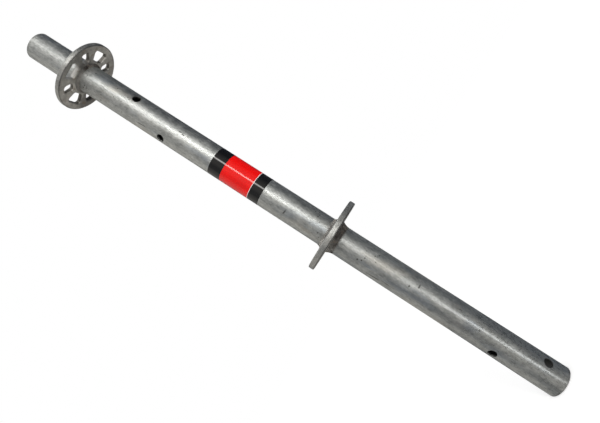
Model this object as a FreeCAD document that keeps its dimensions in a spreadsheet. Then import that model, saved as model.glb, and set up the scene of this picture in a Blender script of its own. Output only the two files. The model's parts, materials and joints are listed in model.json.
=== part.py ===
import FreeCAD, Part
import os
import Sketcher

# A modular scaffold standard: one galvanised tube, two rosettes welded to it on both sides, and a printed
# label. The tube stands on its bottom end, +Z runs up its axis, and the origin is the centre of that end.

doc = FreeCAD.newDocument("scaffold_standard")
ORIGIN = FreeCAD.Vector(0, 0, 0)
X_DIRECTION = FreeCAD.Vector(1, 0, 0)
Z_DIRECTION = FreeCAD.Vector(0, 0, 1)

# Driving dimensions in millimetres. Each one can be changed by itself.
SIZES = (
    # The tube, a standard 48.3 mm scaffold tube
    ("tube_length", 1000.0),
    ("tube_outer_diameter", 48.3),
    ("tube_wall", 3.2),
    ("tube_end_chamfer", 0.5),
    # The cross-drilled pin holes: two up from the bottom end, two down from the upper rosette
    ("pin_hole_diameter", 14.0),
    ("pin_hole_pitch", 70.0),
    ("bottom_end_to_pin_hole", 34.0),
    ("upper_rosette_to_pin_hole", 110.0),
    # The places of the rosettes, taken from the top end down
    ("top_end_to_upper_rosette", 107.0),
    ("rosette_spacing", 500.0),
    # The rosette plate
    ("rosette_diameter", 123.0),
    ("rosette_thickness", 9.5),
    ("rosette_bore_clearance", 0.15),
    ("rosette_rim_chamfer", 1.2),
    # The eight openings, between a hub round the tube and a rim round the edge
    ("opening_hub_width", 7.5),
    ("opening_rim_width", 12.2),
    ("opening_corner_radius", 4.5),
    ("narrow_opening_inner_width", 13.0),
    ("narrow_opening_outer_width", 15.0),
    ("wide_opening_inner_width", 19.5),
    ("wide_opening_outer_width", 33.0),
    # The fillet weld beads, of which the one below the lower rosette reaches further down the tube
    ("weld_leg_on_tube", 7.0),
    ("long_weld_leg_on_tube", 12.5),
    ("weld_leg_on_plate", 4.0),
    # The label
    ("label_length", 97.5),
    ("label_film", 0.2),
    ("lower_rosette_to_label", 126.5),
)
OPENINGS_OF_A_KIND = 4
SAME_PLACE = 1e-4

sheet = doc.addObject("Spreadsheet::Sheet", "Sizes")
for row, (alias, value) in enumerate(SIZES, start=1):
    sheet.set("A%d" % row, alias.replace("_", " "))
    sheet.set("B%d" % row, str(value))
    sheet.setAlias("B%d" % row, alias)
doc.recompute()

UPPER_ROSETTE_HEIGHT = "(Sizes.tube_length - Sizes.top_end_to_upper_rosette)"
LOWER_ROSETTE_HEIGHT = "(%s - Sizes.rosette_spacing)" % UPPER_ROSETTE_HEIGHT
OPENING_INNER_RADIUS = "(Sizes.tube_outer_diameter / 2 + Sizes.opening_hub_width)"
OPENING_OUTER_RADIUS = "(Sizes.rosette_diameter / 2 - Sizes.opening_rim_width)"
LARGEST_CORNER_SHARE = 0.45


def new_body(label):
    body = doc.addObject("PartDesign::Body", label)
    body.Label = label
    return body


def origin_feature(body, role):
    return next(feature for feature in body.Origin.OriginFeatures if feature.Role == role)


def new_sketch(body, name, plane_role):
    sketch = body.newObject("Sketcher::SketchObject", name)
    sketch.AttachmentSupport = (origin_feature(body, plane_role), [""])
    sketch.MapMode = "FlatFace"
    return sketch


def drive(sketch, name, size, *constraint):
    """Adds a dimension to a sketch and binds it to the sheet."""
    index = sketch.addConstraint(Sketcher.Constraint(*constraint))
    sketch.renameConstraint(index, name)
    sketch.setExpression("Constraints." + name, size)


def add_centred_circle(sketch, name, diameter):
    start_diameter = 10.0
    circle = sketch.addGeometry(Part.Circle(ORIGIN, Z_DIRECTION, start_diameter / 2))
    sketch.addConstraint(Sketcher.Constraint("Coincident", circle, 3, -1, 1))
    drive(sketch, name, diameter, "Diameter", circle, start_diameter)


def pad_ring(body, name, outer_diameter, inner_diameter, length, centred=False):
    """Pads a flat ring along Z, up from the body's origin or centred on it."""
    sketch = new_sketch(body, name + "_sketch", "XY_Plane")
    add_centred_circle(sketch, "outer_diameter", outer_diameter)
    add_centred_circle(sketch, "inner_diameter", inner_diameter)
    pad = body.newObject("PartDesign::Pad", name)
    pad.Profile = sketch
    pad.SideType = "Symmetric" if centred else "One side"
    pad.setExpression("Length", length)
    doc.recompute()
    return pad


def cut_through(body, name, sketch):
    """Cuts a sketch through the whole body, both ways, and makes sure that it took material away."""
    volume_before = body.Shape.Volume
    pocket = body.newObject("PartDesign::Pocket", name)
    pocket.Profile = sketch
    pocket.Type = "ThroughAll"
    pocket.SideType = "Symmetric"
    doc.recompute()
    if body.Shape.Volume >= volume_before:
        raise RuntimeError(name + " cuts nothing")
    return pocket


def dress_edges(body, kind, name, size, wanted):
    """Fillets or chamfers the edges of the body's last feature that the given test picks."""
    tip = body.Tip
    edges = ["Edge%d" % number for number, edge in enumerate(tip.Shape.Edges, start=1) if wanted(edge)]
    dressed = body.newObject("PartDesign::" + kind, name)
    dressed.Base = (tip, edges)
    dressed.setExpression("Radius" if kind == "Fillet" else "Size", size)
    doc.recompute()
    return dressed


def is_circle(edge):
    return isinstance(edge.Curve, Part.Circle)


def is_circle_of_radius(edge, radius):
    return is_circle(edge) and abs(edge.Curve.Radius - radius) < SAME_PLACE


# The tube: drawn steel tube, cut square and deburred, with the pin holes drilled through both walls.
def drill_pin_holes(body, name, plane_role, heights):
    start_radius = 5.0
    start_height = 50.0
    sketch = new_sketch(body, name + "_sketch", plane_role)
    for number, height in enumerate(heights, start=1):
        centre = FreeCAD.Vector(0, number * start_height, 0)
        hole = sketch.addGeometry(Part.Circle(centre, Z_DIRECTION, start_radius))
        sketch.addConstraint(Sketcher.Constraint("PointOnObject", hole, 3, -2))
        drive(sketch, "height_%d" % number, height, "DistanceY", -1, 1, hole, 3, number * start_height)
        drive(sketch, "diameter_%d" % number, "Sizes.pin_hole_diameter", "Diameter", hole, 2 * start_radius)
    return cut_through(body, name, sketch)


def make_tube():
    body = new_body("standard_tube")
    bore = "Sizes.tube_outer_diameter - 2 * Sizes.tube_wall"
    pad_ring(body, "tube_wall", "Sizes.tube_outer_diameter", bore, "Sizes.tube_length")

    dress_edges(body, "Chamfer", "tube_ends", "Sizes.tube_end_chamfer", is_circle)

    bottom_hole = "Sizes.bottom_end_to_pin_hole"
    top_hole = "%s - Sizes.upper_rosette_to_pin_hole" % UPPER_ROSETTE_HEIGHT
    drill_pin_holes(body, "pin_holes_along_y", "XZ_Plane", (bottom_hole, top_hole))
    second_bottom_hole = "%s + Sizes.pin_hole_pitch" % bottom_hole
    second_top_hole = "%s - Sizes.pin_hole_pitch" % top_hole
    drill_pin_holes(body, "pin_holes_along_x", "YZ_Plane", (second_bottom_hole, second_top_hole))
    return body


# A rosette: a stamped plate with four narrow openings on the X and Y axes, which set ledgers square, and four
# wide ones between them, which let braces and ledgers turn. It slides on the tube with a little clearance.
def make_rosette(label, height):
    body = new_body(label)
    bore = "Sizes.tube_outer_diameter + 2 * Sizes.rosette_bore_clearance"
    pad_ring(body, "plate", "Sizes.rosette_diameter", bore, "Sizes.rosette_thickness", centred=True)

    half_step = 180 / OPENINGS_OF_A_KIND
    cut_openings(body, "narrow_openings", 0)
    cut_openings(body, "wide_openings", half_step)

    bore_radius = sheet.tube_outer_diameter / 2 + sheet.rosette_bore_clearance
    rim_radius = sheet.rosette_diameter / 2
    opening_depth = "(%s - %s)" % (OPENING_OUTER_RADIUS, OPENING_INNER_RADIUS)
    corner_radius = "min(Sizes.opening_corner_radius; %s * %s)" % (LARGEST_CORNER_SHARE, opening_depth)
    dress_edges(body, "Fillet", "opening_corners", corner_radius,
                lambda edge: is_opening_corner(edge, bore_radius, rim_radius))
    dress_edges(body, "Chamfer", "rim_edges", "Sizes.rosette_rim_chamfer",
                lambda edge: is_circle_of_radius(edge, rim_radius))
    body.setExpression("Placement.Base.z", height)
    return body


def is_opening_corner(edge, bore_radius, rim_radius):
    """True for an upright edge that lies between the bore and the rim."""
    ends = [vertex.Point for vertex in edge.Vertexes]
    if len(ends) != 2 or abs(ends[0].z - ends[1].z) < SAME_PLACE:
        return False
    from_axis = ends[0].distanceToLine(ORIGIN, Z_DIRECTION)
    return bore_radius + SAME_PLACE < from_axis < rim_radius - SAME_PLACE


def cut_openings(body, name, turn):
    """Cuts one straight-sided opening, symmetric about its radius, and repeats it round the plate."""
    start_corners = [(30, -8), (50, -12), (50, 12), (30, 8)]
    kind = name[:-1]
    inner_width = "Sizes.%s_inner_width" % kind
    outer_width = "Sizes.%s_outer_width" % kind

    sketch = new_sketch(body, name + "_sketch", "XY_Plane")
    sketch.AttachmentOffset = FreeCAD.Placement(ORIGIN, FreeCAD.Rotation(Z_DIRECTION, turn))
    points = [FreeCAD.Vector(x, y, 0) for x, y in start_corners]
    side, outer, other_side, inner = [
        sketch.addGeometry(Part.LineSegment(start, end))
        for start, end in zip(points, points[1:] + points[:1])
    ]
    for line, following in ((side, outer), (outer, other_side), (other_side, inner), (inner, side)):
        sketch.addConstraint(Sketcher.Constraint("Coincident", line, 2, following, 1))
    for end_line in (outer, inner):
        sketch.addConstraint(Sketcher.Constraint("Symmetric", end_line, 1, end_line, 2, -1))
    drive(sketch, "inner_radius", OPENING_INNER_RADIUS, "DistanceX", -1, 1, side, 1, start_corners[0][0])
    drive(sketch, "outer_radius", OPENING_OUTER_RADIUS, "DistanceX", -1, 1, side, 2, start_corners[1][0])
    drive(sketch, "outer_width", outer_width, "DistanceY", outer, 1, outer, 2, 2 * start_corners[2][1])
    drive(sketch, "inner_width", inner_width, "DistanceY", inner, 2, inner, 1, 2 * start_corners[3][1])
    opening = cut_through(body, name + "_first", sketch)

    pattern = body.newObject("PartDesign::PolarPattern", name)
    pattern.Originals = [opening]
    pattern.Axis = (origin_feature(body, "Z_Axis"), [""])
    pattern.Angle = 360
    pattern.Occurrences = OPENINGS_OF_A_KIND
    body.Tip = pattern
    doc.recompute()
    return pattern


# A weld bead: a flat-faced fillet run round the tube in the corner with one face of a rosette. Its own origin
# is the centre of that face, and it is turned over when it lies under the plate.
def make_weld(label, plate_height, above, leg_on_tube):
    body = new_body(label)
    start_leg = 6.0
    root = FreeCAD.Vector(24, 0, 0)
    plate_toe = root + FreeCAD.Vector(start_leg, 0, 0)
    tube_toe = root + FreeCAD.Vector(0, start_leg, 0)

    sketch = new_sketch(body, "bead_profile", "XZ_Plane")
    on_plate = sketch.addGeometry(Part.LineSegment(root, plate_toe))
    face = sketch.addGeometry(Part.LineSegment(plate_toe, tube_toe))
    on_tube = sketch.addGeometry(Part.LineSegment(tube_toe, root))
    sketch.addConstraint(Sketcher.Constraint("Coincident", on_plate, 2, face, 1))
    sketch.addConstraint(Sketcher.Constraint("Coincident", face, 2, on_tube, 1))
    sketch.addConstraint(Sketcher.Constraint("Coincident", on_tube, 2, on_plate, 1))
    sketch.addConstraint(Sketcher.Constraint("PointOnObject", on_plate, 1, -1))
    sketch.addConstraint(Sketcher.Constraint("Horizontal", on_plate))
    sketch.addConstraint(Sketcher.Constraint("Vertical", on_tube))
    drive(sketch, "tube_radius", "Sizes.tube_outer_diameter / 2", "DistanceX", -1, 1, on_plate, 1, root.x)
    drive(sketch, "leg_on_plate", "Sizes.weld_leg_on_plate", "DistanceX", on_plate, 1, on_plate, 2, start_leg)
    drive(sketch, "leg_on_tube", leg_on_tube, "DistanceY", on_tube, 2, on_tube, 1, start_leg)

    bead = body.newObject("PartDesign::Revolution", "bead")
    bead.Profile = sketch
    bead.ReferenceAxis = (origin_feature(body, "Z_Axis"), [""])
    bead.Angle = 360
    doc.recompute()

    side = "+" if above else "-"
    turned_over = 0 if above else 180
    body.Placement = FreeCAD.Placement(ORIGIN, FreeCAD.Rotation(X_DIRECTION, turned_over))
    body.setExpression("Placement.Base.z", "%s %s Sizes.rosette_thickness / 2" % (plate_height, side))
    return body


# The label: a printed vinyl film wrapped once round the tube above the lower rosette.
def make_label():
    body = new_body("label_wrap")
    film_diameter = "Sizes.tube_outer_diameter + 2 * Sizes.label_film"
    pad_ring(body, "film", film_diameter, "Sizes.tube_outer_diameter", "Sizes.label_length")
    body.setExpression("Placement.Base.z", "%s + Sizes.lower_rosette_to_label" % LOWER_ROSETTE_HEIGHT)
    return body


bodies = [make_tube()]
for place, height, leg_below in (
    ("lower", LOWER_ROSETTE_HEIGHT, "Sizes.long_weld_leg_on_tube"),
    ("upper", UPPER_ROSETTE_HEIGHT, "Sizes.weld_leg_on_tube"),
):
    rosette = place + "_rosette"
    bodies.append(make_rosette(rosette, height))
    bodies.append(make_weld(rosette + "_weld_below", height, False, leg_below))
    bodies.append(make_weld(rosette + "_weld_above", height, True, "Sizes.weld_leg_on_tube"))
bodies.append(make_label())
doc.recompute()

for item in doc.Objects:
    if "Invalid" in item.State or "Error" in item.State:
        raise RuntimeError("%s failed to build: %s" % (item.Label, item.State))
for body in bodies:
    if body.Shape.isNull() or not body.Shape.isValid():
        raise RuntimeError("%s has no valid shape" % body.Label)

os.makedirs("parts", exist_ok=True)
for body in bodies:
    body.Shape.exportStep("parts/%s.step" % body.Label)
    print(body.Label, "%.0f mm3" % body.Shape.Volume, body.Shape.BoundBox)
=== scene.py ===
import json
import math

import bpy
from mathutils import Matrix, Vector


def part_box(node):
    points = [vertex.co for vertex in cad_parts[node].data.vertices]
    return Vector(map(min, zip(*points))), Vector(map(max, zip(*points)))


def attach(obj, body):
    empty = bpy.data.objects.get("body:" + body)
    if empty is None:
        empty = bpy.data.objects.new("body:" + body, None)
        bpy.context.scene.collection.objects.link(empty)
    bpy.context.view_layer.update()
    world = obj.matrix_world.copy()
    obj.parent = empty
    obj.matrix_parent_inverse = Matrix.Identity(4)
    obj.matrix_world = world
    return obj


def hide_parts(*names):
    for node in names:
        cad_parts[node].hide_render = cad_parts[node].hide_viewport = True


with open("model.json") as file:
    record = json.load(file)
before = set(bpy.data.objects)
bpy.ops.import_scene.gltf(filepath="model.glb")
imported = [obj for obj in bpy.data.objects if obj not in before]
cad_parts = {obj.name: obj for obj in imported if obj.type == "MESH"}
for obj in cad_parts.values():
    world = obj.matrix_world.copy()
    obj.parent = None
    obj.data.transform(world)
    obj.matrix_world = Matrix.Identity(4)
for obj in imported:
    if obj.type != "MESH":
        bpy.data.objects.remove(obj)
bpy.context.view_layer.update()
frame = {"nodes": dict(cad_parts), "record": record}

# The tube is welded steel scaffold tube, cut square, drilled for pins, and dipped in molten zinc once the
# rosettes are welded on. Its zinc is a dull silver, cloudy and streaked along the tube, with dark pits, a
# few scuffs and worn ends.
tube_low, tube_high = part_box("standard_tube")
TUBE_RADIUS = tube_high.x
TUBE_LENGTH = tube_high.z
TUBE_SIDES = 160
TUBE_EDGE_ROUND = 0.0005
TUBE_SAME_POINT = 0.00004
mounts = {mount["name"]: mount for mount in frame["record"]["mounts"]}
BORE_RADIUS = mounts["bottom_socket"]["dims"]["r_mm"] / 1000
PIN_HOLES = [mount for name, mount in mounts.items() if name.endswith("pin_hole")]
PIN_HOLE_SIDES = 64
PIN_HOLE_MARGIN = 0.011
DRILL_LENGTH = 4 * TUBE_RADIUS

ZINC_DARK = (0.275, 0.289, 0.288, 1)
ZINC_LIGHT = (0.66, 0.676, 0.664, 1)
BLUISH_ZINC_AND_REFLECTION = (0.325, 0.37, 0.425, 1)
ZINC_WARM = (0.47, 0.43, 0.365, 1)
SOOT_AND_SHADE_BROWN = (0.10, 0.088, 0.078, 1)
PIT_BLACK = (0.03, 0.028, 0.026, 1)
BORE_SHADE_GREY = (0.17, 0.17, 0.165, 1)
TUBE_TONE = 0.46
TUBE_ROUGHNESS = 0.46
DIRT_ROUGHNESS = 0.2

# Heights in metres between which the smoother zinc of the foot gives way, and how much smoother it is.
SMOOTH_FOOT = (0.14, 0.30)
SMOOTH_FOOT_GAIN = 0.17

# In metres: how far the dark band round a rosette, part welding soot and part painted shade from the
# rosette, reaches below and above its middle, how far from a cut end the wear is full and gone, and how far
# outside the bore the painted shade inside it is full and gone.
SOOT_AND_SHADE_BELOW = 0.020
SOOT_AND_SHADE_ABOVE = 0.013
END_WEAR = (0.0005, 0.004)
BORE_SHADE = 0.0003
BORE_SHADE_FADE = 0.0026


def deselect_all():
    for thing in bpy.context.selected_objects:
        thing.select_set(False)


def pick(piece):
    """Makes a piece the active one, and the only one that is selected."""
    deselect_all()
    piece.select_set(True)
    bpy.context.view_layer.objects.active = piece


def start_editing(piece):
    pick(piece)
    bpy.ops.object.mode_set(mode="EDIT")
    bpy.ops.mesh.select_all(action="SELECT")


def stop_editing():
    bpy.ops.object.mode_set(mode="OBJECT")


def select_faces(piece, wanted):
    """Selects the faces of the piece being edited that the given test picks."""
    bpy.ops.mesh.select_mode(type="FACE")
    bpy.ops.mesh.select_all(action="DESELECT")
    stop_editing()
    for face in piece.data.polygons:
        face.select = wanted(face)
    bpy.ops.object.mode_set(mode="EDIT")


def is_top(face):
    return face.normal.z > 0.5


def is_bottom(face):
    return face.normal.z < -0.5


def apply_modifier(piece, kind, **settings):
    pick(piece)
    modifier = piece.modifiers.new(kind.lower(), kind)
    for name, value in settings.items():
        setattr(modifier, name, value)
    bpy.ops.object.modifier_apply(modifier=modifier.name)


def add_cylinder(name, sides, radius, low, high, fill="NGON"):
    """A new cylinder on the tube's axis, with its place in its mesh."""
    deselect_all()
    bpy.ops.mesh.primitive_cylinder_add(vertices=sides, radius=radius, depth=high - low, end_fill_type=fill,
                                        location=(0, 0, (low + high) / 2))
    bpy.ops.object.transform_apply(location=True, rotation=False, scale=False)
    piece = bpy.context.object
    piece.name = name
    return piece


def drill_pin_hole(piece, mount):
    """Drills through both walls, with the flats of the drill turned by half a side."""
    across = Vector(mount["axis"])
    half_side = Matrix.Rotation(math.pi / PIN_HOLE_SIDES, 3, "Z")
    turn = across.to_track_quat("Z", "Y").to_matrix() @ half_side
    deselect_all()
    bpy.ops.mesh.primitive_cylinder_add(vertices=PIN_HOLE_SIDES, radius=mount["dims"]["r_mm"] / 1000,
                                        depth=DRILL_LENGTH, location=mount["pos_m"],
                                        rotation=turn.to_euler())
    drill = bpy.context.object
    apply_modifier(piece, "BOOLEAN", object=drill, operation="DIFFERENCE", solver="EXACT")
    bpy.data.objects.remove(drill)


def round_edges(piece, width, segments, sharper_than):
    """Rounds the edges that turn by more than an angle in degrees."""
    apply_modifier(piece, "BEVEL", width=width, segments=segments, limit_method="ANGLE",
                   angle_limit=math.radians(sharper_than), use_clamp_overlap=False, loop_slide=False)


def shade_smooth(piece, up_to):
    """Shades a piece smooth across the edges that turn by up to an angle in degrees."""
    pick(piece)
    bpy.ops.object.shade_smooth_by_angle(angle=math.radians(up_to))
    apply_modifier(piece, "WEIGHTED_NORMAL", keep_sharp=True)


def model_tube():
    """The drilled tube; a cut above and below each pin hole keeps the faces round it short."""
    tube = add_cylinder("zinc_tube", TUBE_SIDES, TUBE_RADIUS, tube_low.z, tube_high.z)
    start_editing(tube)
    select_faces(tube, lambda face: is_top(face) or is_bottom(face))
    bpy.ops.mesh.inset(thickness=TUBE_RADIUS - BORE_RADIUS)
    bpy.ops.mesh.bridge_edge_loops()
    for mount in PIN_HOLES:
        for side in (-1, 1):
            bpy.ops.mesh.select_all(action="SELECT")
            height = mount["pos_m"][2] + side * PIN_HOLE_MARGIN
            bpy.ops.mesh.bisect(plane_co=(0, 0, height), plane_no=(0, 0, 1))
    stop_editing()
    for mount in PIN_HOLES:
        drill_pin_hole(tube, mount)
    start_editing(tube)
    bpy.ops.mesh.remove_doubles(threshold=TUBE_SAME_POINT)
    stop_editing()
    round_edges(tube, TUBE_EDGE_ROUND, segments=2, sharper_than=50)
    shade_smooth(tube, up_to=35)
    return tube


class Shade:
    """One socket of a material; arithmetic on it adds Math nodes."""

    def __init__(self, tree, socket=None):
        self.tree = tree
        self.socket = socket

    def node(self, kind, settings, inputs, output=0):
        """Adds a node of a kind, with its settings and the values or links of its sockets."""
        made = self.tree.nodes.new("ShaderNode" + kind)
        for name, value in settings.items():
            setattr(made, name, value)
        for name, value in inputs.items():
            if isinstance(value, Shade):
                self.tree.links.new(value.socket, made.inputs[name])
            else:
                made.inputs[name].default_value = value
        return Shade(self.tree, made.outputs[output] if made.outputs else None)

    def math(self, operation, first, second=0.0):
        return self.node("Math", {"operation": operation}, {0: first, 1: second})

    def __add__(self, other):
        return self.math("ADD", self, other)

    def __sub__(self, other):
        return self.math("SUBTRACT", self, other)

    def __rsub__(self, other):
        return self.math("SUBTRACT", other, self)

    def __mul__(self, other):
        return self.math("MULTIPLY", self, other)

    def __abs__(self):
        return self.math("ABSOLUTE", self)

    __radd__ = __add__
    __rmul__ = __mul__

    def rise(self, low, high):
        """Goes smoothly from 0 at low to 1 at high, and stays there."""
        settings = {"interpolation_type": "SMOOTHSTEP"}
        return self.node("MapRange", settings, {"Value": self, "From Min": low, "From Max": high})

    def fall(self, low, high):
        """Goes smoothly from 1 at low to 0 at high, and stays there."""
        return 1 - self.rise(low, high)

    def swing(self, amount):
        """Noise, which lies round a half, moved to lie round 0 and spread by an amount."""
        return (self - 0.5) * amount

    def largest(self, *others):
        result = self
        for other in others:
            result = self.math("MAXIMUM", result, other)
        return result

    def smallest(self, other):
        return self.math("MINIMUM", self, other)

    def split(self):
        """The X, Y and Z of a vector."""
        return [self.node("SeparateXYZ", {}, {0: self}, axis) for axis in range(3)]

    def drawn_out(self, share):
        """A place whose height counts for only a share, which draws patterns out along the tube."""
        return self.node("VectorMath", {"operation": "MULTIPLY"}, {0: self, 1: (1, 1, share)})

    def shift(self, x, y, z):
        return self.node("VectorMath", {"operation": "ADD"}, {0: self, 1: (x, y, z)})

    def noise(self, scale, detail=3.0, roughness=0.55):
        inputs = {"Vector": self, "Scale": scale, "Detail": detail, "Roughness": roughness}
        return self.node("TexNoise", {}, inputs)

    def blend(self, first, second, most=1.0):
        """Mixes two colours by this value, with at most the given share of the second."""
        share = self if most == 1.0 else self * most
        # A Mix node takes its colours at sockets 6 and 7 and gives its colour at output 2.
        inputs = {0: share, 6: first, 7: second}
        return self.node("Mix", {"data_type": "RGBA"}, inputs, 2)


def new_finish(name, **uniform):
    """A material with one shader, whose uniform numbers are set on its own sockets."""
    finish = bpy.data.materials.new(name)
    finish.use_nodes = True
    shader = finish.node_tree.nodes["Principled BSDF"]
    for socket, value in uniform.items():
        shader.inputs[socket.replace("_", " ")].default_value = value
    place = Shade(finish.node_tree).node("TexCoord", {}, {}, "Object")
    return finish, shader, place


def feed(shader, **varying):
    """Links values that change over the surface to a shader's sockets."""
    for socket, value in varying.items():
        value.tree.links.new(value.socket, shader.inputs[socket.replace("_", " ")])


def bumps(place, relief, strength, distance):
    return place.node("Bump", {}, {"Strength": strength, "Distance": distance, "Height": relief})


def specks(place, scale, share, size):
    """Small round spots at scattered places: share is how many cells hold one, size its radius in cells."""
    inputs = {"Vector": place, "Scale": scale}
    from_centre = place.node("TexVoronoi", {}, inputs, "Distance")
    chance = place.node("TexVoronoi", {}, inputs, "Color").split()[0]
    radius = (chance - (1 - share)).largest(0.0) * (size / share)
    soft_edge = 0.45 * size
    return (radius - from_centre).rise(0.0, soft_edge)


def spot(place, bearing, height, across, along, tilt):
    """1 in the core of a rounded patch of the tube's skin, and 0 past its edge."""
    turn = math.radians(bearing)
    settings = {"vector_type": "TEXTURE"}
    inputs = {
        "Vector": place,
        "Location": (TUBE_RADIUS * math.cos(turn), TUBE_RADIUS * math.sin(turn), height),
        "Rotation": (math.radians(tilt), 0, turn),
        "Scale": (max(across, along) / 2, across / 2, along / 2),
    }
    inside = place.node("Mapping", settings, inputs)
    from_middle = inside.node("VectorMath", {"operation": "LENGTH"}, {0: inside}, "Value")
    core = 0.55
    return from_middle.fall(core, 1.0)


def any_spot(place, spots):
    inside = spot(place, *spots[0])
    for each in spots[1:]:
        inside = inside.largest(spot(place, *each))
    return inside


def distance_from_axis(x, y):
    return x.math("SQRT", x * x + y * y)


def near_heights(z, heights, below, above):
    """1 next to each height, and 0 past the given reach below and above it."""
    core = 0.3
    masks = []
    for height in heights:
        over = z - height
        masks.append(over.rise(-below, -core * below) * over.fall(core * above, above))
    return masks[0].largest(*masks[1:])


ROSETTES = ("lower_rosette", "upper_rosette")
ROSETTE_HEIGHTS = [sum(corner.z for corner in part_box(name)) / 2 for name in ROSETTES]

# Marks on the zinc: dark scuffs, bluish bands along the tube beside the highlight line, which are a painted
# bluish reflection, and patches full of small pits. A row holds the bearing in degrees, the height, the
# width across and the length along the tube in metres, and the tilt in degrees.
SCUFFS = (
    (208, 0.474, 0.0105, 0.0034, -12),
    (247, 0.243, 0.0090, 0.0036, -2),
    (228, 0.256, 0.0045, 0.0036, 0),
    (179, 0.308, 0.0026, 0.0280, 4),
    (186, 0.286, 0.0020, 0.0220, -3),
    (249, 0.687, 0.0022, 0.0080, 5),
    (246, 0.680, 0.0020, 0.0060, -8),
    (231, 0.139, 0.0034, 0.0034, 0),
    (208, 0.341, 0.0042, 0.0030, -15),
    (213, 0.335, 0.0034, 0.0028, 0),
    (253, 0.321, 0.0032, 0.0028, 0),
    (264, 0.316, 0.0030, 0.0026, 0),
    (211, 0.413, 0.0034, 0.0026, 0),
    (263, 0.426, 0.0036, 0.0028, -20),
    (274, 0.425, 0.0034, 0.0026, 0),
    (188, 0.752, 0.0018, 0.0260, 2),
    (237, 0.876, 0.0060, 0.0018, -15),
    (186, 0.875, 0.0040, 0.0034, 0),
    (198, 0.873, 0.0034, 0.0030, 0),
    (203, 0.838, 0.0022, 0.0034, 0),
    (179, 0.837, 0.0030, 0.0034, 0),
    (224, 0.816, 0.0024, 0.0028, 0),
    (267, 0.868, 0.0040, 0.0022, 0),
)
BLUISH_REFLECTION_BANDS = (
    (207, 0.303, 0.019, 0.085, 0),
    (219, 0.440, 0.018, 0.080, 0),
    (214, 0.240, 0.016, 0.075, 0),
)
PITTED_PATCHES = (
    (266, 0.422, 0.040, 0.044, 0),
    (212, 0.409, 0.038, 0.038, 0),
    (247, 0.323, 0.036, 0.042, 0),
    (207, 0.340, 0.032, 0.040, 0),
    (182, 0.872, 0.036, 0.044, 0),
    (246, 0.686, 0.020, 0.026, 0),
    (250, 0.810, 0.024, 0.050, 0),
    (205, 0.800, 0.024, 0.050, 0),
    (120, 0.430, 0.040, 0.050, 0),
    (30, 0.860, 0.040, 0.050, 0),
    (330, 0.350, 0.040, 0.050, 0),
)
BLUE_PATCH_SHARE = 0.48
BLUISH_REFLECTION_SHARE = 0.55
FINE_PIT_SHARE = 0.8


def tube_pits(place):
    """1 in the pits and scuffs: crowded pits in some patches, and a few stray ones everywhere."""
    crowded = any_spot(place, PITTED_PATCHES) * specks(place, scale=300.0, share=0.5, size=0.5)
    crowded = crowded * place.noise(scale=150.0).rise(0.42, 0.52)
    scuffs = any_spot(place, SCUFFS) * place.noise(scale=700.0).rise(0.26, 0.46)
    marks = crowded.largest(scuffs)
    stray = specks(place, scale=110.0, share=0.14, size=0.13)
    fine = specks(place, scale=260.0, share=0.06, size=0.26) * FINE_PIT_SHARE
    return marks.largest(stray, fine)


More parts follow.
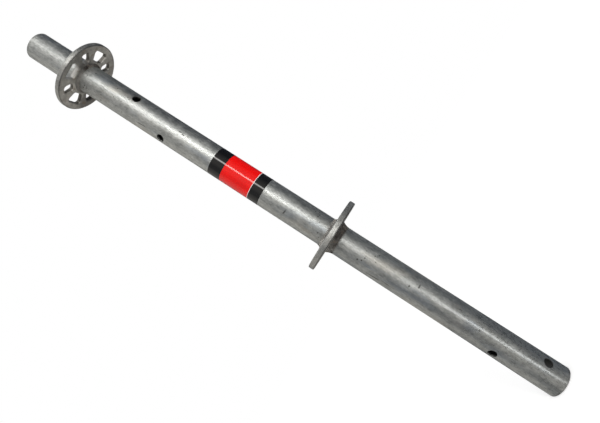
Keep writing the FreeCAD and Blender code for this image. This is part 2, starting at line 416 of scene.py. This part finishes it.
def tube_finish():
    finish, shader, place = new_finish("galvanised_tube", Metallic=0.93, IOR=1.45)
    pits = tube_pits(place)
    # Painted reflection: bluish bands beside the highlight line, where the zinc mirrors a bluish dim room.
    bluish_reflection_bands = any_spot(place, BLUISH_REFLECTION_BANDS) * place.drawn_out(0.2).noise(scale=120.0).rise(0.36, 0.6)
    bluish_reflection_bands = bluish_reflection_bands * BLUISH_REFLECTION_SHARE
    x, y, z = place.split()
    from_axis = distance_from_axis(x, y)
    clouds = place.noise(scale=24.0, detail=4.0, roughness=0.6)
    blotches = place.drawn_out(0.55).noise(scale=135.0, detail=4.0, roughness=0.68)
    streaks = place.drawn_out(0.045).noise(scale=430.0, roughness=0.6)
    flecks = place.drawn_out(0.5).noise(scale=430.0, detail=2.0, roughness=0.6)
    grain = place.noise(scale=1300.0, detail=2.0, roughness=0.7)
    tone = TUBE_TONE + clouds.swing(0.6) + blotches.swing(1.3) + streaks.swing(0.7) + flecks.swing(1.1)
    colour = tone.blend(ZINC_DARK, ZINC_LIGHT)

    blue_patches = place.drawn_out(0.3).noise(scale=42.0).rise(0.52, 0.70)
    warm_patches = place.shift(3, 1, 2).drawn_out(0.3).noise(scale=36.0).rise(0.54, 0.72)
    bluish_zinc_and_reflection = (blue_patches * BLUE_PATCH_SHARE).largest(bluish_reflection_bands)
    colour = bluish_zinc_and_reflection.blend(colour, BLUISH_ZINC_AND_REFLECTION)
    colour = warm_patches.blend(colour, ZINC_WARM, most=0.32)

    # A dark band round each rosette, part welding soot and part painted shade where the rosette shades the
    # tube.
    soot_and_shade = near_heights(z, ROSETTE_HEIGHTS, SOOT_AND_SHADE_BELOW, SOOT_AND_SHADE_ABOVE)
    soot_and_shade = soot_and_shade * place.noise(scale=240.0, detail=4.0, roughness=0.7).rise(0.35, 0.62)
    colour = soot_and_shade.blend(colour, SOOT_AND_SHADE_BROWN, most=0.42)
    colour = pits.blend(colour, PIT_BLACK, most=0.72)

    to_end = z.smallest(TUBE_LENGTH - z)
    worn_ends = to_end.fall(*END_WEAR)
    worn_ends = worn_ends * place.noise(scale=210.0, detail=4.0, roughness=0.7).rise(0.45, 0.58)
    colour = worn_ends.blend(colour, SOOT_AND_SHADE_BROWN, most=0.75)
    # Painted shade: the inside of the bore, and the walls of the pin holes next to it, are painted darker.
    inside = from_axis.fall(BORE_RADIUS + BORE_SHADE, BORE_RADIUS + BORE_SHADE_FADE)
    colour = inside.blend(colour, BORE_SHADE_GREY, most=0.85)

    roughness = TUBE_ROUGHNESS - z.fall(*SMOOTH_FOOT) * SMOOTH_FOOT_GAIN
    roughness = roughness + blotches.swing(0.25) + flecks.swing(0.1)
    roughness = roughness + (soot_and_shade + pits + inside) * DIRT_ROUGHNESS
    relief = blotches * 0.5 + clouds * 0.3 + streaks * 0.2 + flecks * 0.06 + grain * 0.04
    normal = bumps(place, relief, strength=0.42, distance=0.0009)
    feed(shader, Base_Color=colour, Roughness=roughness, Normal=normal)
    return finish


def put_finish(piece, finish):
    piece.data.materials.clear()
    piece.data.materials.append(finish)


def seat(piece, slot, *replaced):
    """Fixes a finished piece to the standard and hides the parts it stands for; its slot is not used."""
    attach(piece, "root")
    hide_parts(*replaced)


tube = model_tube()
put_finish(tube, tube_finish())
seat(tube, "galvanised_tube", "standard_tube")

# Each rosette is stamped from thick steel plate, slid on the tube and welded. The stamping and the zinc
# leave its openings with full, rounded edges, so each plate is a copy of its solid with those edges rounded.
# Its zinc is browner than the tube's. The walls of its openings are painted dark, which is painted shade,
# but for the front one, which is painted bright, a painted highlight.
plate_low, plate_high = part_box("lower_rosette")
PLATE_RADIUS = plate_high.x
PLATE_HALF = (plate_high.z - plate_low.z) / 2
PLATE_SAME_POINT = 0.000001
PLATE_FLATNESS = math.radians(1)
OPENING_EDGE_ROUND = 0.0030
RIM_EDGE_ROUND = 0.0005
PLATE_DARK = (0.26, 0.249, 0.232, 1)
PLATE_LIGHT = (0.68, 0.664, 0.62, 1)
PLATE_STAIN = (0.26, 0.19, 0.13, 1)
SHADE_BROWN = (0.055, 0.05, 0.045, 1)
LIT_WALL_ZINC = (0.85, 0.845, 0.83, 1)
PLATE_TONE = 0.44
PLATE_ROUGHNESS = 0.50
RIM_DARKER = 0.14

# In metres: how deep from the rim its skin is full and gone, how far painted shade reaches round its lower
# edge, and between which depths an upright face stops counting as the rim's and counts as an opening's wall.
RIM_SKIN = 0.0006
RIM_FADE = 0.0022
RIM_SHADE_REACH = 0.0026
WALLS_START = 0.0105
WALLS_FULL = 0.0115

# Patches of painted light and shade on the plates' faces, the tube's shadow beside it among them: bearing in
# degrees, distance from the axis and reach in metres, and how much lighter the zinc is painted there.
PLATE_LIT_AND_SHADED_PATCHES = (
    (245, 0.056, 0.046, -0.20),
    (92, 0.050, 0.036, -0.62),
    (325, 0.052, 0.030, 0.28),
    (165, 0.055, 0.032, 0.16),
    (190, 0.031, 0.022, 0.34),
    (267, 0.029, 0.017, -0.34),
)

# Bearing in degrees, and distance from the axis and reach in metres, of the opening whose walls are painted
# bright, a painted highlight.
LIT_OPENING = (232, 0.041, 0.036)


def plate_patch(place, bearing, from_axis, reach):
    """1 in the core of a round patch on each plate, and 0 past its reach."""
    turn = math.radians(bearing)
    centre = (from_axis * math.cos(turn), from_axis * math.sin(turn), 0)
    flat = place.drawn_out(0)
    away = flat.node("VectorMath", {"operation": "DISTANCE"}, {0: flat, 1: centre}, "Value")
    core = 0.2 * reach
    return away.fall(core, reach)


def plate_lit_and_shaded(place):
    total = 0.0
    for bearing, from_axis, reach, lift in PLATE_LIT_AND_SHADED_PATCHES:
        total = total + plate_patch(place, bearing, from_axis, reach) * lift
    return total


def plate_finish():
    finish, shader, place = new_finish("galvanised_rosette", Metallic=0.9, IOR=1.45)
    x, y, z = place.split()
    from_axis = distance_from_axis(x, y)
    clouds = place.noise(scale=60.0, detail=4.0, roughness=0.65)
    blotches = place.noise(scale=230.0, detail=4.0, roughness=0.7)
    grain = place.noise(scale=1000.0, roughness=0.7)
    rim = from_axis.rise(PLATE_RADIUS - RIM_FADE, PLATE_RADIUS - RIM_SKIN)
    tone = PLATE_TONE + clouds.swing(1.3) + blotches.swing(1.2) + grain.swing(0.5)
    # Painted light and shade: set patches lighten and darken the faces of the plates.
    colour = (tone + plate_lit_and_shaded(place)).blend(PLATE_DARK, PLATE_LIGHT)
    stains = place.shift(1, 5, 3).noise(scale=90.0).rise(0.54, 0.70)
    colour = stains.blend(colour, PLATE_STAIN, most=0.45)
    rim_zinc = (tone - RIM_DARKER).blend(ZINC_DARK, ZINC_LIGHT)
    colour = rim.blend(colour, rim_zinc, most=0.65)

    face_normal = place.node("TexCoord", {}, {}, "Normal")
    upright = abs(face_normal.split()[2]).fall(0.2, 0.6)
    walls = upright * from_axis.fall(PLATE_RADIUS - WALLS_FULL, PLATE_RADIUS - WALLS_START)
    # Painted shade: the walls of the openings are painted dark brown.
    colour = walls.blend(colour, SHADE_BROWN, most=0.7)
    # Painted highlight: the walls of the front opening are painted bright.
    lit_walls = walls * plate_patch(place, *LIT_OPENING).rise(0.0, 0.6)
    colour = lit_walls.blend(colour, LIT_WALL_ZINC, most=0.6)

    shear_marks = place.drawn_out(0.12).noise(scale=800.0, roughness=0.65)
    bright_shear = rim * shear_marks.rise(0.5, 0.75)
    colour = bright_shear.blend(colour, ZINC_LIGHT, most=0.35)
    lower_faces = [height - PLATE_HALF for height in ROSETTE_HEIGHTS]
    # Painted shade: a dark ring round the lower edge of each rim.
    rim_shade = near_heights(z, lower_faces, RIM_SHADE_REACH, RIM_SHADE_REACH) * rim
    colour = rim_shade.blend(colour, SHADE_BROWN, most=0.6)
    pits = specks(place, scale=240.0, share=0.14, size=0.24)
    colour = pits.blend(colour, PIT_BLACK, most=0.7)

    roughness = PLATE_ROUGHNESS - rim * 0.08 + blotches.swing(0.4) + pits * DIRT_ROUGHNESS
    relief = blotches * 0.5 + grain * 0.15 + clouds * 0.3 + rim * shear_marks * 0.4 - pits * 0.5
    normal = bumps(place, relief, strength=0.5, distance=0.0007)
    feed(shader, Base_Color=colour, Roughness=roughness, Normal=normal)
    return finish


def model_plate(node):
    plate = bpy.data.objects.new(node + "_plate", frame["nodes"][node].data.copy())
    bpy.context.scene.collection.objects.link(plate)
    start_editing(plate)
    bpy.ops.mesh.customdata_custom_splitnormals_clear()
    bpy.ops.mesh.remove_doubles(threshold=PLATE_SAME_POINT)
    bpy.ops.mesh.dissolve_limited(angle_limit=PLATE_FLATNESS)
    stop_editing()
    round_edges(plate, OPENING_EDGE_ROUND, segments=4, sharper_than=70)
    round_edges(plate, RIM_EDGE_ROUND, segments=2, sharper_than=32)
    shade_smooth(plate, up_to=32)
    return plate


plate_zinc = plate_finish()
for rosette in ROSETTES:
    plate = model_plate(rosette)
    put_finish(plate, plate_zinc)
    seat(plate, "galvanised_rosette", rosette)

# Each weld is one hand-laid fillet run round the tube, hollow in section, with crescent ripples and a
# swelling where it starts and stops. It is steel under sooty zinc, painted darker below the rosettes than
# above them, which is painted shade, and painted lighter on the side towards the light, a painted highlight.
# The run below the lower rosette is a long one.
BEAD_SIDES = 384
BEAD_ROWS = 8
LONG_RUN = 0.010
LONG_RUN_CURVE = 2.0
SHORT_RUN_CURVE = 3.2
BEAD_SINK = 0.00015
RIPPLE_COUNT = 96
RIPPLE_LAG = 0.9
RIPPLE_HEIGHT = 0.00022
RIPPLE_LIFTS = (0.0, 1.0, 0.0, -1.0)
BEAD_UNEVENNESS = 0.00008
TURN_TO_NEXT_BEAD = 2.2
BEAD_DARK = (0.065, 0.056, 0.049, 1)
BEAD_LIGHT = (0.45, 0.44, 0.42, 1)
BEAD_ROUGHNESS = 0.52
LIT_SIDE_BEARING = math.radians(183)
LIT_SIDE_FADE = 0.3
LIT_SIDE_GAIN = 0.42

# The swelling is raised in two steps, each with its half width in radians and its lift in metres.
START_BEARING = math.radians(20)
START_SWELLINGS = ((0.16, 0.0004), (0.09, 0.0003))

# How light each run is, darker under a plate where it is painted shade; the cosine of the turn from its lit
# side below which its painted light is gone; and how strong its stains are.
BEAD_RUNS = {
    "lower_rosette_weld_below": (0.19, 0.80, 0.386),
    "lower_rosette_weld_above": (0.66, 0.80, 0.104),
    "upper_rosette_weld_below": (0.22, 0.25, 0.368),
    "upper_rosette_weld_above": (0.60, 0.25, 0.140),
}


def bead_finish(node):
    run_tone_and_shade, lit_from, stained = BEAD_RUNS[node]
    finish, shader, place = new_finish(node, Metallic=0.85, IOR=1.45)
    x, y = place.split()[:2]
    facing = (x * math.cos(LIT_SIDE_BEARING) + y * math.sin(LIT_SIDE_BEARING)) * (1 / TUBE_RADIUS)
    lit_side = facing.rise(lit_from, lit_from + LIT_SIDE_FADE)
    clouds = place.noise(scale=75.0, detail=4.0, roughness=0.65)
    grain = place.noise(scale=900.0, roughness=0.7)
    # Painted light and shade: runs under a plate are darker, and each is lighter on the side towards the
    # light.
    tone = run_tone_and_shade + lit_side * LIT_SIDE_GAIN + clouds.swing(1.5) + grain.swing(0.7)
    colour = tone.blend(BEAD_DARK, BEAD_LIGHT)
    stains = place.noise(scale=150.0).rise(0.55, 0.70)
    colour = stains.blend(colour, PLATE_STAIN, most=stained)
    roughness = BEAD_ROUGHNESS + clouds.swing(0.3)
    normal = bumps(place, grain, strength=0.5, distance=0.0003)
    feed(shader, Base_Color=colour, Roughness=roughness, Normal=normal)
    return finish


def select_points(piece, wanted):
    """Selects the points of the piece being edited that the given test picks."""
    bpy.ops.mesh.select_mode(type="VERT")
    bpy.ops.mesh.select_all(action="DESELECT")
    stop_editing()
    for point in piece.data.vertices:
        point.select = wanted(point.co)
    bpy.ops.object.mode_set(mode="EDIT")


def widen(factor):
    """Scales what is selected to or from the tube's axis."""
    bpy.ops.transform.resize(value=(factor, factor, 1), center_override=(0, 0, 0))


def bearing_of(point):
    return math.atan2(point.y, point.x)


def model_bead(leg, toe_radius):
    """A ring that stands on the plane Z = 0, widest there, with its tube toe at the top."""
    root_radius = TUBE_RADIUS - BEAD_SINK
    spread = toe_radius - root_radius
    deselect_all()
    bpy.ops.mesh.primitive_cone_add(vertices=BEAD_SIDES, radius1=toe_radius, radius2=root_radius,
                                    depth=leg, end_fill_type="NOTHING", location=(0, 0, leg / 2))
    bpy.ops.object.transform_apply(location=True, rotation=False, scale=False)
    bead = bpy.context.object
    start_editing(bead)
    select_points(bead, lambda point: True)
    bpy.ops.mesh.subdivide(number_cuts=BEAD_ROWS - 1)

    def row(point):
        return point.z / leg * BEAD_ROWS

    def on_face(point):
        return 0.5 < row(point) < BEAD_ROWS - 0.5

    curve = LONG_RUN_CURVE if leg > LONG_RUN else SHORT_RUN_CURVE
    for number in range(1, BEAD_ROWS):
        left = 1 - number / BEAD_ROWS
        straight = root_radius + spread * left
        hollow = root_radius + spread * left ** curve
        select_points(bead, lambda point: abs(row(point) - number) < 0.25)
        widen(hollow / straight)

    def ripple_phase(point):
        turns = bearing_of(point) / (2 * math.pi)
        lag = RIPPLE_LAG * (2 * row(point) / BEAD_ROWS - 1) ** 2
        return int((turns * RIPPLE_COUNT - lag) % 1 * len(RIPPLE_LIFTS))

    for phase, lift in enumerate(RIPPLE_LIFTS):
        if lift:
            select_points(bead, lambda point: on_face(point) and ripple_phase(point) == phase)
            bpy.ops.transform.shrink_fatten(value=lift * RIPPLE_HEIGHT)
    for reach, lift in START_SWELLINGS:
        select_points(bead, lambda point: on_face(point) and abs(bearing_of(point) - START_BEARING) < reach)
        bpy.ops.transform.shrink_fatten(value=lift)
    select_points(bead, on_face)
    bpy.ops.transform.vertex_random(offset=BEAD_UNEVENNESS, uniform=0.2, normal=0.8, seed=11)

    select_points(bead, lambda point: row(point) < 0.5)
    bpy.ops.mesh.extrude_edges_move()
    widen(root_radius / toe_radius)
    bpy.ops.mesh.select_all(action="DESELECT")
    bpy.ops.mesh.select_non_manifold()
    bpy.ops.mesh.bridge_edge_loops()
    bpy.ops.mesh.select_all(action="SELECT")
    bpy.ops.mesh.normals_make_consistent(inside=False)
    stop_editing()
    shade_smooth(bead, up_to=50)
    return bead


def place_bead(model, node, below, turn, height):
    """A copy of a bead, turned round and, below a plate, turned over."""
    bead = bpy.data.objects.new(node + "_bead", model.data.copy())
    bpy.context.scene.collection.objects.link(bead)
    turned_over = Matrix.Rotation(math.pi if below else 0, 4, "X")
    bead.data.transform(Matrix.Translation((0, 0, height)) @ turned_over @ Matrix.Rotation(turn, 4, "Z"))
    return bead


# Runs with the same length along the tube are copies of one model.
bead_models = {}
for number, node in enumerate(BEAD_RUNS):
    bead_low, bead_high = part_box(node)
    leg = round(bead_high.z - bead_low.z, 5)
    if leg not in bead_models:
        bead_models[leg] = model_bead(leg, bead_high.x)
    below = node.endswith("below")
    plate_face = bead_high.z if below else bead_low.z
    bead = place_bead(bead_models[leg], node, below, TURN_TO_NEXT_BEAD * number, plate_face)
    put_finish(bead, bead_finish(node))
    seat(bead, "weld_bead", node)
for bead_model in bead_models.values():
    bpy.data.objects.remove(bead_model)

# The label is a printed vinyl film wrapped once round the tube, its end stuck down over its start at the
# back. It is glossy, in bands of black, red and black with one thin white line, and scuffed along its
# length.
label_low, label_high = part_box("label_wrap")
FILM = (label_high.x - TUBE_RADIUS) / 2
FLAP_BEARING = math.radians(52)
FLAP_REACH = 0.30
FLAP_START = 0.02
LOWER_BLACK = 0.0195
WHITE_LINE = 0.0009
RED_AND_WHITE = 0.055
LOWER_BLACK_TOP = label_low.z + LOWER_BLACK
WHITE_LINE_TOP = LOWER_BLACK_TOP + WHITE_LINE
RED_TOP = LOWER_BLACK_TOP + RED_AND_WHITE
PRINT_EDGE = 0.00008
PRINT_BLACK = (0.006, 0.006, 0.007, 1)
PRINT_RED = (0.76, 0.004, 0.003, 1)
PRINT_WHITE = (0.75, 0.72, 0.70, 1)
SCUFF_GREY = (0.25, 0.22, 0.21, 1)
FILM_ROUGHNESS = 0.06


def label_finish():
    finish, shader, place = new_finish("label_print", IOR=1.47)
    z = place.split()[2]
    above_black = z.rise(LOWER_BLACK_TOP - PRINT_EDGE, LOWER_BLACK_TOP + PRINT_EDGE)
    red = above_black * z.fall(RED_TOP - PRINT_EDGE, RED_TOP + PRINT_EDGE)
    white = above_black * z.fall(WHITE_LINE_TOP - PRINT_EDGE, WHITE_LINE_TOP + PRINT_EDGE)
    colour = white.blend(red.blend(PRINT_BLACK, PRINT_RED), PRINT_WHITE)
    scuffs = place.drawn_out(0.03).noise(scale=800.0, roughness=0.6).rise(0.58, 0.75)
    scuffs = scuffs * place.noise(scale=50.0).rise(0.46, 0.64)
    colour = scuffs.blend(colour, SCUFF_GREY, most=0.2)
    grime = place.drawn_out(0.3).noise(scale=70.0, detail=4.0, roughness=0.65).rise(0.5, 0.75)
    colour = grime.blend(colour, PRINT_BLACK, most=0.12)
    feed(shader, Base_Color=colour, Roughness=FILM_ROUGHNESS + scuffs * 0.10 + grime * 0.04)
    return finish


def model_label():
    """One turn of film, with a second layer over its start whose first edge comes down to the tube."""
    label = add_cylinder("label_film", TUBE_SIDES, TUBE_RADIUS, label_low.z, label_high.z, "NOTHING")
    start_editing(label)

    def past_flap_start(point):
        return (bearing_of(point) - FLAP_BEARING) / FLAP_REACH

    def starts_flap(point):
        return point.xy.length > TUBE_RADIUS + FILM / 2 and past_flap_start(point) < FLAP_START

    select_faces(label, lambda face: 0 < past_flap_start(face.center) < 1)
    bpy.ops.mesh.duplicate()
    raised = (TUBE_RADIUS + FILM) / TUBE_RADIUS
    widen(raised)
    select_points(label, starts_flap)
    widen(1 / raised)
    stop_editing()
    apply_modifier(label, "SOLIDIFY", thickness=FILM, offset=1)
    shade_smooth(label, up_to=35)
    return label


label = model_label()
put_finish(label, label_finish())
seat(label, "label_print", "label_wrap")

# The standard stands on a plain pale paper floor. The floor takes the soft shadow at its foot, and glows to
# the camera, so that it is white where nothing shades it.
FLOOR_RADIUS = 6.0
FLOOR_SIDES = 96
FLOOR_DROP = 0.001
FLOOR_GLOW = 0.56
PAPER_GREY = (0.8, 0.8, 0.8, 1)
SHADED_GREY = (0.6, 0.6, 0.6, 1)
WHITE = (1, 1, 1, 1)


def seen_directly(shade):
    """1 for the rays that look at the background, straight or by way of metal or glass."""
    rays = [shade.node("LightPath", {}, {}, name)
            for name in ("Is Camera Ray", "Is Glossy Ray", "Is Transmission Ray")]
    return rays[0].largest(*rays[1:])


def stage_finish(name):
    """A material whose nodes are still to be made, for what is not part of the object."""
    finish = bpy.data.materials.new(name)
    finish.use_nodes = True
    finish.node_tree.nodes.clear()
    return finish, Shade(finish.node_tree)


def floor_finish():
    finish, shade = stage_finish("floor_paper")
    paper = shade.node("BsdfDiffuse", {}, {"Color": PAPER_GREY})
    shaded = shade.node("BsdfDiffuse", {}, {"Color": SHADED_GREY})
    glow = shade.node("Emission", {}, {"Color": WHITE, "Strength": FLOOR_GLOW})
    white = shade.node("AddShader", {}, {0: shaded, 1: glow})
    surface = shade.node("MixShader", {}, {0: seen_directly(shade), 1: paper, 2: white})
    shade.node("OutputMaterial", {}, {"Surface": surface})
    return finish


deselect_all()
bpy.ops.mesh.primitive_circle_add(vertices=FLOOR_SIDES, radius=FLOOR_RADIUS, fill_type="NGON",
                                  location=(0, 0, -FLOOR_DROP))
floor = bpy.context.object
floor.name = "floor"
put_finish(floor, floor_finish())

# The studio is white all round to the camera, with soft even light on the object. Grey cards stand round the
# object and under it, seen only in reflections and open at the top, so that the zinc mirrors a dim room with
# one dark side, and a bright stripe on the floor that runs out to the strip light.
DAYLIGHT = 0.75
BACKDROP = 1.0
LAMP_BEARING = math.radians(246.5)
CARD_RADIUS = 1.6
CARD_HEIGHT = 3.0
CARD_SIDES = 96
CARD_LOW_DARK = (0.116, 0.126, 0.140, 1)
CARD_HIGH_DARK = (0.024, 0.034, 0.050, 1)
CARD_LOW_GREY = (0.44, 0.424, 0.398, 1)
CARD_HIGH_GREY = (0.665, 0.635, 0.585, 1)
CARD_PALE = (0.60, 0.57, 0.52, 1)
DIM_SHARE = 0.55
LOW_DIM_SHARE = 0.32
STRIPE_GLOW = 3.2
STRIPE_TURN = -0.035

# Turns in radians from the strip light between which the grey side starts and ends, and its dim part does.
GREY_STARTS = (-3.1, -2.2)
GREY_ENDS = (0.0, 1.25)
DIM_STARTS = (-1.75, -1.4)
DIM_ENDS = (-1.05, -0.55)
STRIPE_EDGE = (0.035, 0.065)

# Heights in metres between which the cards' tones change, and the height up to which they lie on the floor.
GREY_LIGHTENS = (0.0, 1.0)
GREY_DARKENS = (1.7, 2.5)
DARK_DEEPENS = (0.3, 1.2)
START_LEANS = (0.4, 1.0)
END_LEANS = (0.9, 1.5)
LOW_PART = (0.2, 0.45)
FLOOR_PART = (0.001, 0.002)

# Distances in metres, from the axis or towards the strip light.
FOOT_PART = (0.25, 0.5)
FAR_PART = (0.5, 0.8)
PALE_PART = (-0.9, -0.5)
STRIPE_STARTS = (0.0, 0.12)

# How far in radians the edges of the grey side and of its dim part lean over.
START_LEAN = 0.15
END_LEAN = 0.2
FOOT_LEAN = 0.3
DIM_LEAN = 0.2

world = bpy.data.worlds.new("studio")
bpy.context.scene.world = world
world.use_nodes = True
world.node_tree.nodes.clear()
sky = Shade(world.node_tree)
daylight = sky.node("Background", {}, {"Color": WHITE, "Strength": DAYLIGHT})
backdrop = sky.node("Background", {}, {"Color": WHITE, "Strength": BACKDROP})
all_round = sky.node("MixShader", {}, {0: seen_directly(sky), 1: daylight, 2: backdrop})
sky.node("OutputWorld", {}, {"Surface": all_round})


def across_lamp(x, y):
    """How far a place lies to the side of the line from the axis to the strip light."""
    return y * math.cos(LAMP_BEARING) - x * math.sin(LAMP_BEARING)


def card_finish():
    finish, shade = stage_finish("studio_cards")
    x, y, z = shade.node("TexCoord", {}, {}, "Object").split()
    to_lamp = x * math.cos(LAMP_BEARING) + y * math.sin(LAMP_BEARING)
    turn = shade.math("ARCTAN2", across_lamp(x, y), to_lamp)
    away = distance_from_axis(x, y)
    on_floor = z.fall(*FLOOR_PART)
    near_foot = on_floor * away.fall(*FOOT_PART)
    far_low = z.fall(*LOW_PART) * away.rise(*FAR_PART)

    started = (turn + z.rise(*START_LEANS) * START_LEAN).rise(*GREY_STARTS)
    not_ended = (turn + z.rise(*END_LEANS) * END_LEAN + near_foot * FOOT_LEAN).fall(*GREY_ENDS)
    dim = turn.rise(*DIM_STARTS) * (turn - far_low * DIM_LEAN).fall(*DIM_ENDS)
    dim = dim * (DIM_SHARE + far_low * LOW_DIM_SHARE)
    grey = (z.rise(*GREY_LIGHTENS) * z.fall(*GREY_DARKENS)).blend(CARD_LOW_GREY, CARD_HIGH_GREY)
    dark = z.rise(*DARK_DEEPENS).blend(CARD_LOW_DARK, CARD_HIGH_DARK)
    colour = (started * not_ended * (1 - dim)).blend(dark, grey)
    colour = (on_floor * to_lamp.fall(*PALE_PART)).blend(colour, CARD_PALE)

    stripe = abs(turn - STRIPE_TURN).fall(*STRIPE_EDGE) * to_lamp.rise(*STRIPE_STARTS) * on_floor
    dull = shade.node("Emission", {}, {"Color": colour, "Strength": 1.0})
    bright = shade.node("Emission", {}, {"Color": WHITE, "Strength": STRIPE_GLOW})
    surface = shade.node("MixShader", {}, {0: stripe, 1: dull, 2: bright})
    shade.node("OutputMaterial", {}, {"Surface": surface})
    return finish


cards = add_cylinder("studio_cards", CARD_SIDES, CARD_RADIUS, -FLOOR_DROP / 2, CARD_HEIGHT)
start_editing(cards)
select_faces(cards, is_top)
bpy.ops.mesh.delete(type="FACE")
stop_editing()
put_finish(cards, card_finish())
cards.visible_camera = False
cards.visible_diffuse = False
cards.visible_shadow = False
cards.visible_transmission = False

# One tall strip light beside the camera draws the bright line along the tube. It has a bright core between
# dimmer wings, and is brightest halfway up.
STRIP_DISTANCE = 1.0
STRIP_WIDTH = 0.26
STRIP_HEIGHT = 1.95
STRIP_DIM_FOOT = 0.1
STRIP_BRIGHT_HEIGHT = 0.95
STRIP_LOW = 1.7
STRIP_PEAK = 7.4
STRIP_CORE = 0.040
STRIP_CORE_EDGE = 0.024
CORE_GAIN = 1.75
WING_GAIN = 0.6
STRIP_BRIGHTEST = STRIP_PEAK * CORE_GAIN
LAMP_WHITE = (1.0, 0.982, 0.948, 1)


def strip_finish():
    finish, shade = stage_finish("strip_light")
    x, y, z = shade.node("TexCoord", {}, {}, "Object").split()
    core = abs(across_lamp(x, y)).fall(STRIP_CORE, STRIP_CORE + STRIP_CORE_EDGE)
    gain = core * (CORE_GAIN - WING_GAIN) + WING_GAIN
    bright_part = z.rise(STRIP_DIM_FOOT, STRIP_BRIGHT_HEIGHT) * z.fall(STRIP_BRIGHT_HEIGHT, STRIP_HEIGHT)
    strength = (STRIP_LOW + bright_part * (STRIP_PEAK - STRIP_LOW)) * gain
    off = shade.node("Emission", {}, {"Color": LAMP_WHITE, "Strength": 0.0})
    brightest = shade.node("Emission", {}, {"Color": LAMP_WHITE, "Strength": STRIP_BRIGHTEST})
    glow = shade.node("MixShader", {}, {0: strength * (1 / STRIP_BRIGHTEST), 1: off, 2: brightest})
    shade.node("OutputMaterial", {}, {"Surface": glow})
    return finish


deselect_all()
strip_place = Vector((math.cos(LAMP_BEARING), math.sin(LAMP_BEARING), 0)) * STRIP_DISTANCE
strip_place.z = STRIP_HEIGHT / 2
bpy.ops.mesh.primitive_plane_add(size=1, location=strip_place,
                                 rotation=(math.pi / 2, 0, LAMP_BEARING - math.pi / 2))
strip = bpy.context.object
strip.name = "strip_light"
strip.scale = (STRIP_WIDTH, STRIP_HEIGHT, 1)
bpy.ops.object.transform_apply(location=True, rotation=True, scale=True)
put_finish(strip, strip_finish())
strip.visible_camera = False
strip.visible_shadow = False

# The camera stands beside the tube, just below the level of the lower rosette, and is turned on its side, so
# that the standard lies across the picture. Places are in metres, turns in radians, and the focal length and
# optical centre in pixels.
CAMERA_BEARING = math.radians(231.96)
CAMERA_DISTANCE = 0.73816
CAMERA_HEIGHT = 0.37990
CAMERA_YAW = 0.0480
CAMERA_PITCH = 0.1336
CAMERA_ROLL = 1.0048
NEAREST_SEEN = 0.01
FOCAL_PIXELS = 464.294
PICTURE_WIDTH = 600
PICTURE_HEIGHT = 423
OPTICAL_CENTRE = (297.880, 186.816)
SENSOR_WIDTH = 36.0

lens = bpy.data.cameras.new("camera")
lens.sensor_width = SENSOR_WIDTH
lens.lens = SENSOR_WIDTH * FOCAL_PIXELS / PICTURE_WIDTH
lens.shift_x = ((PICTURE_WIDTH - 1) / 2 - OPTICAL_CENTRE[0]) / PICTURE_WIDTH
lens.shift_y = (OPTICAL_CENTRE[1] - (PICTURE_HEIGHT - 1) / 2) / PICTURE_WIDTH
lens.clip_start = NEAREST_SEEN
camera = bpy.data.objects.new("camera", lens)
bpy.context.scene.collection.objects.link(camera)
facing = CAMERA_BEARING + math.pi - CAMERA_YAW
level = Vector((math.cos(facing), math.sin(facing), 0))
forward = level * math.cos(CAMERA_PITCH) + Vector((0, 0, math.sin(CAMERA_PITCH)))
level_right = Vector((math.sin(facing), -math.cos(facing), 0))
level_down = forward.cross(level_right)
right = math.cos(CAMERA_ROLL) * level_right + math.sin(CAMERA_ROLL) * level_down
down = math.cos(CAMERA_ROLL) * level_down - math.sin(CAMERA_ROLL) * level_right
stand = Vector((math.cos(CAMERA_BEARING), math.sin(CAMERA_BEARING), 0)) * CAMERA_DISTANCE
stand.z = CAMERA_HEIGHT
camera.matrix_world = Matrix.Translation(stand) @ Matrix((right, -down, -forward)).transposed().to_4x4()
bpy.context.scene.camera = camera
bpy.context.scene.view_settings.view_transform = "Standard"
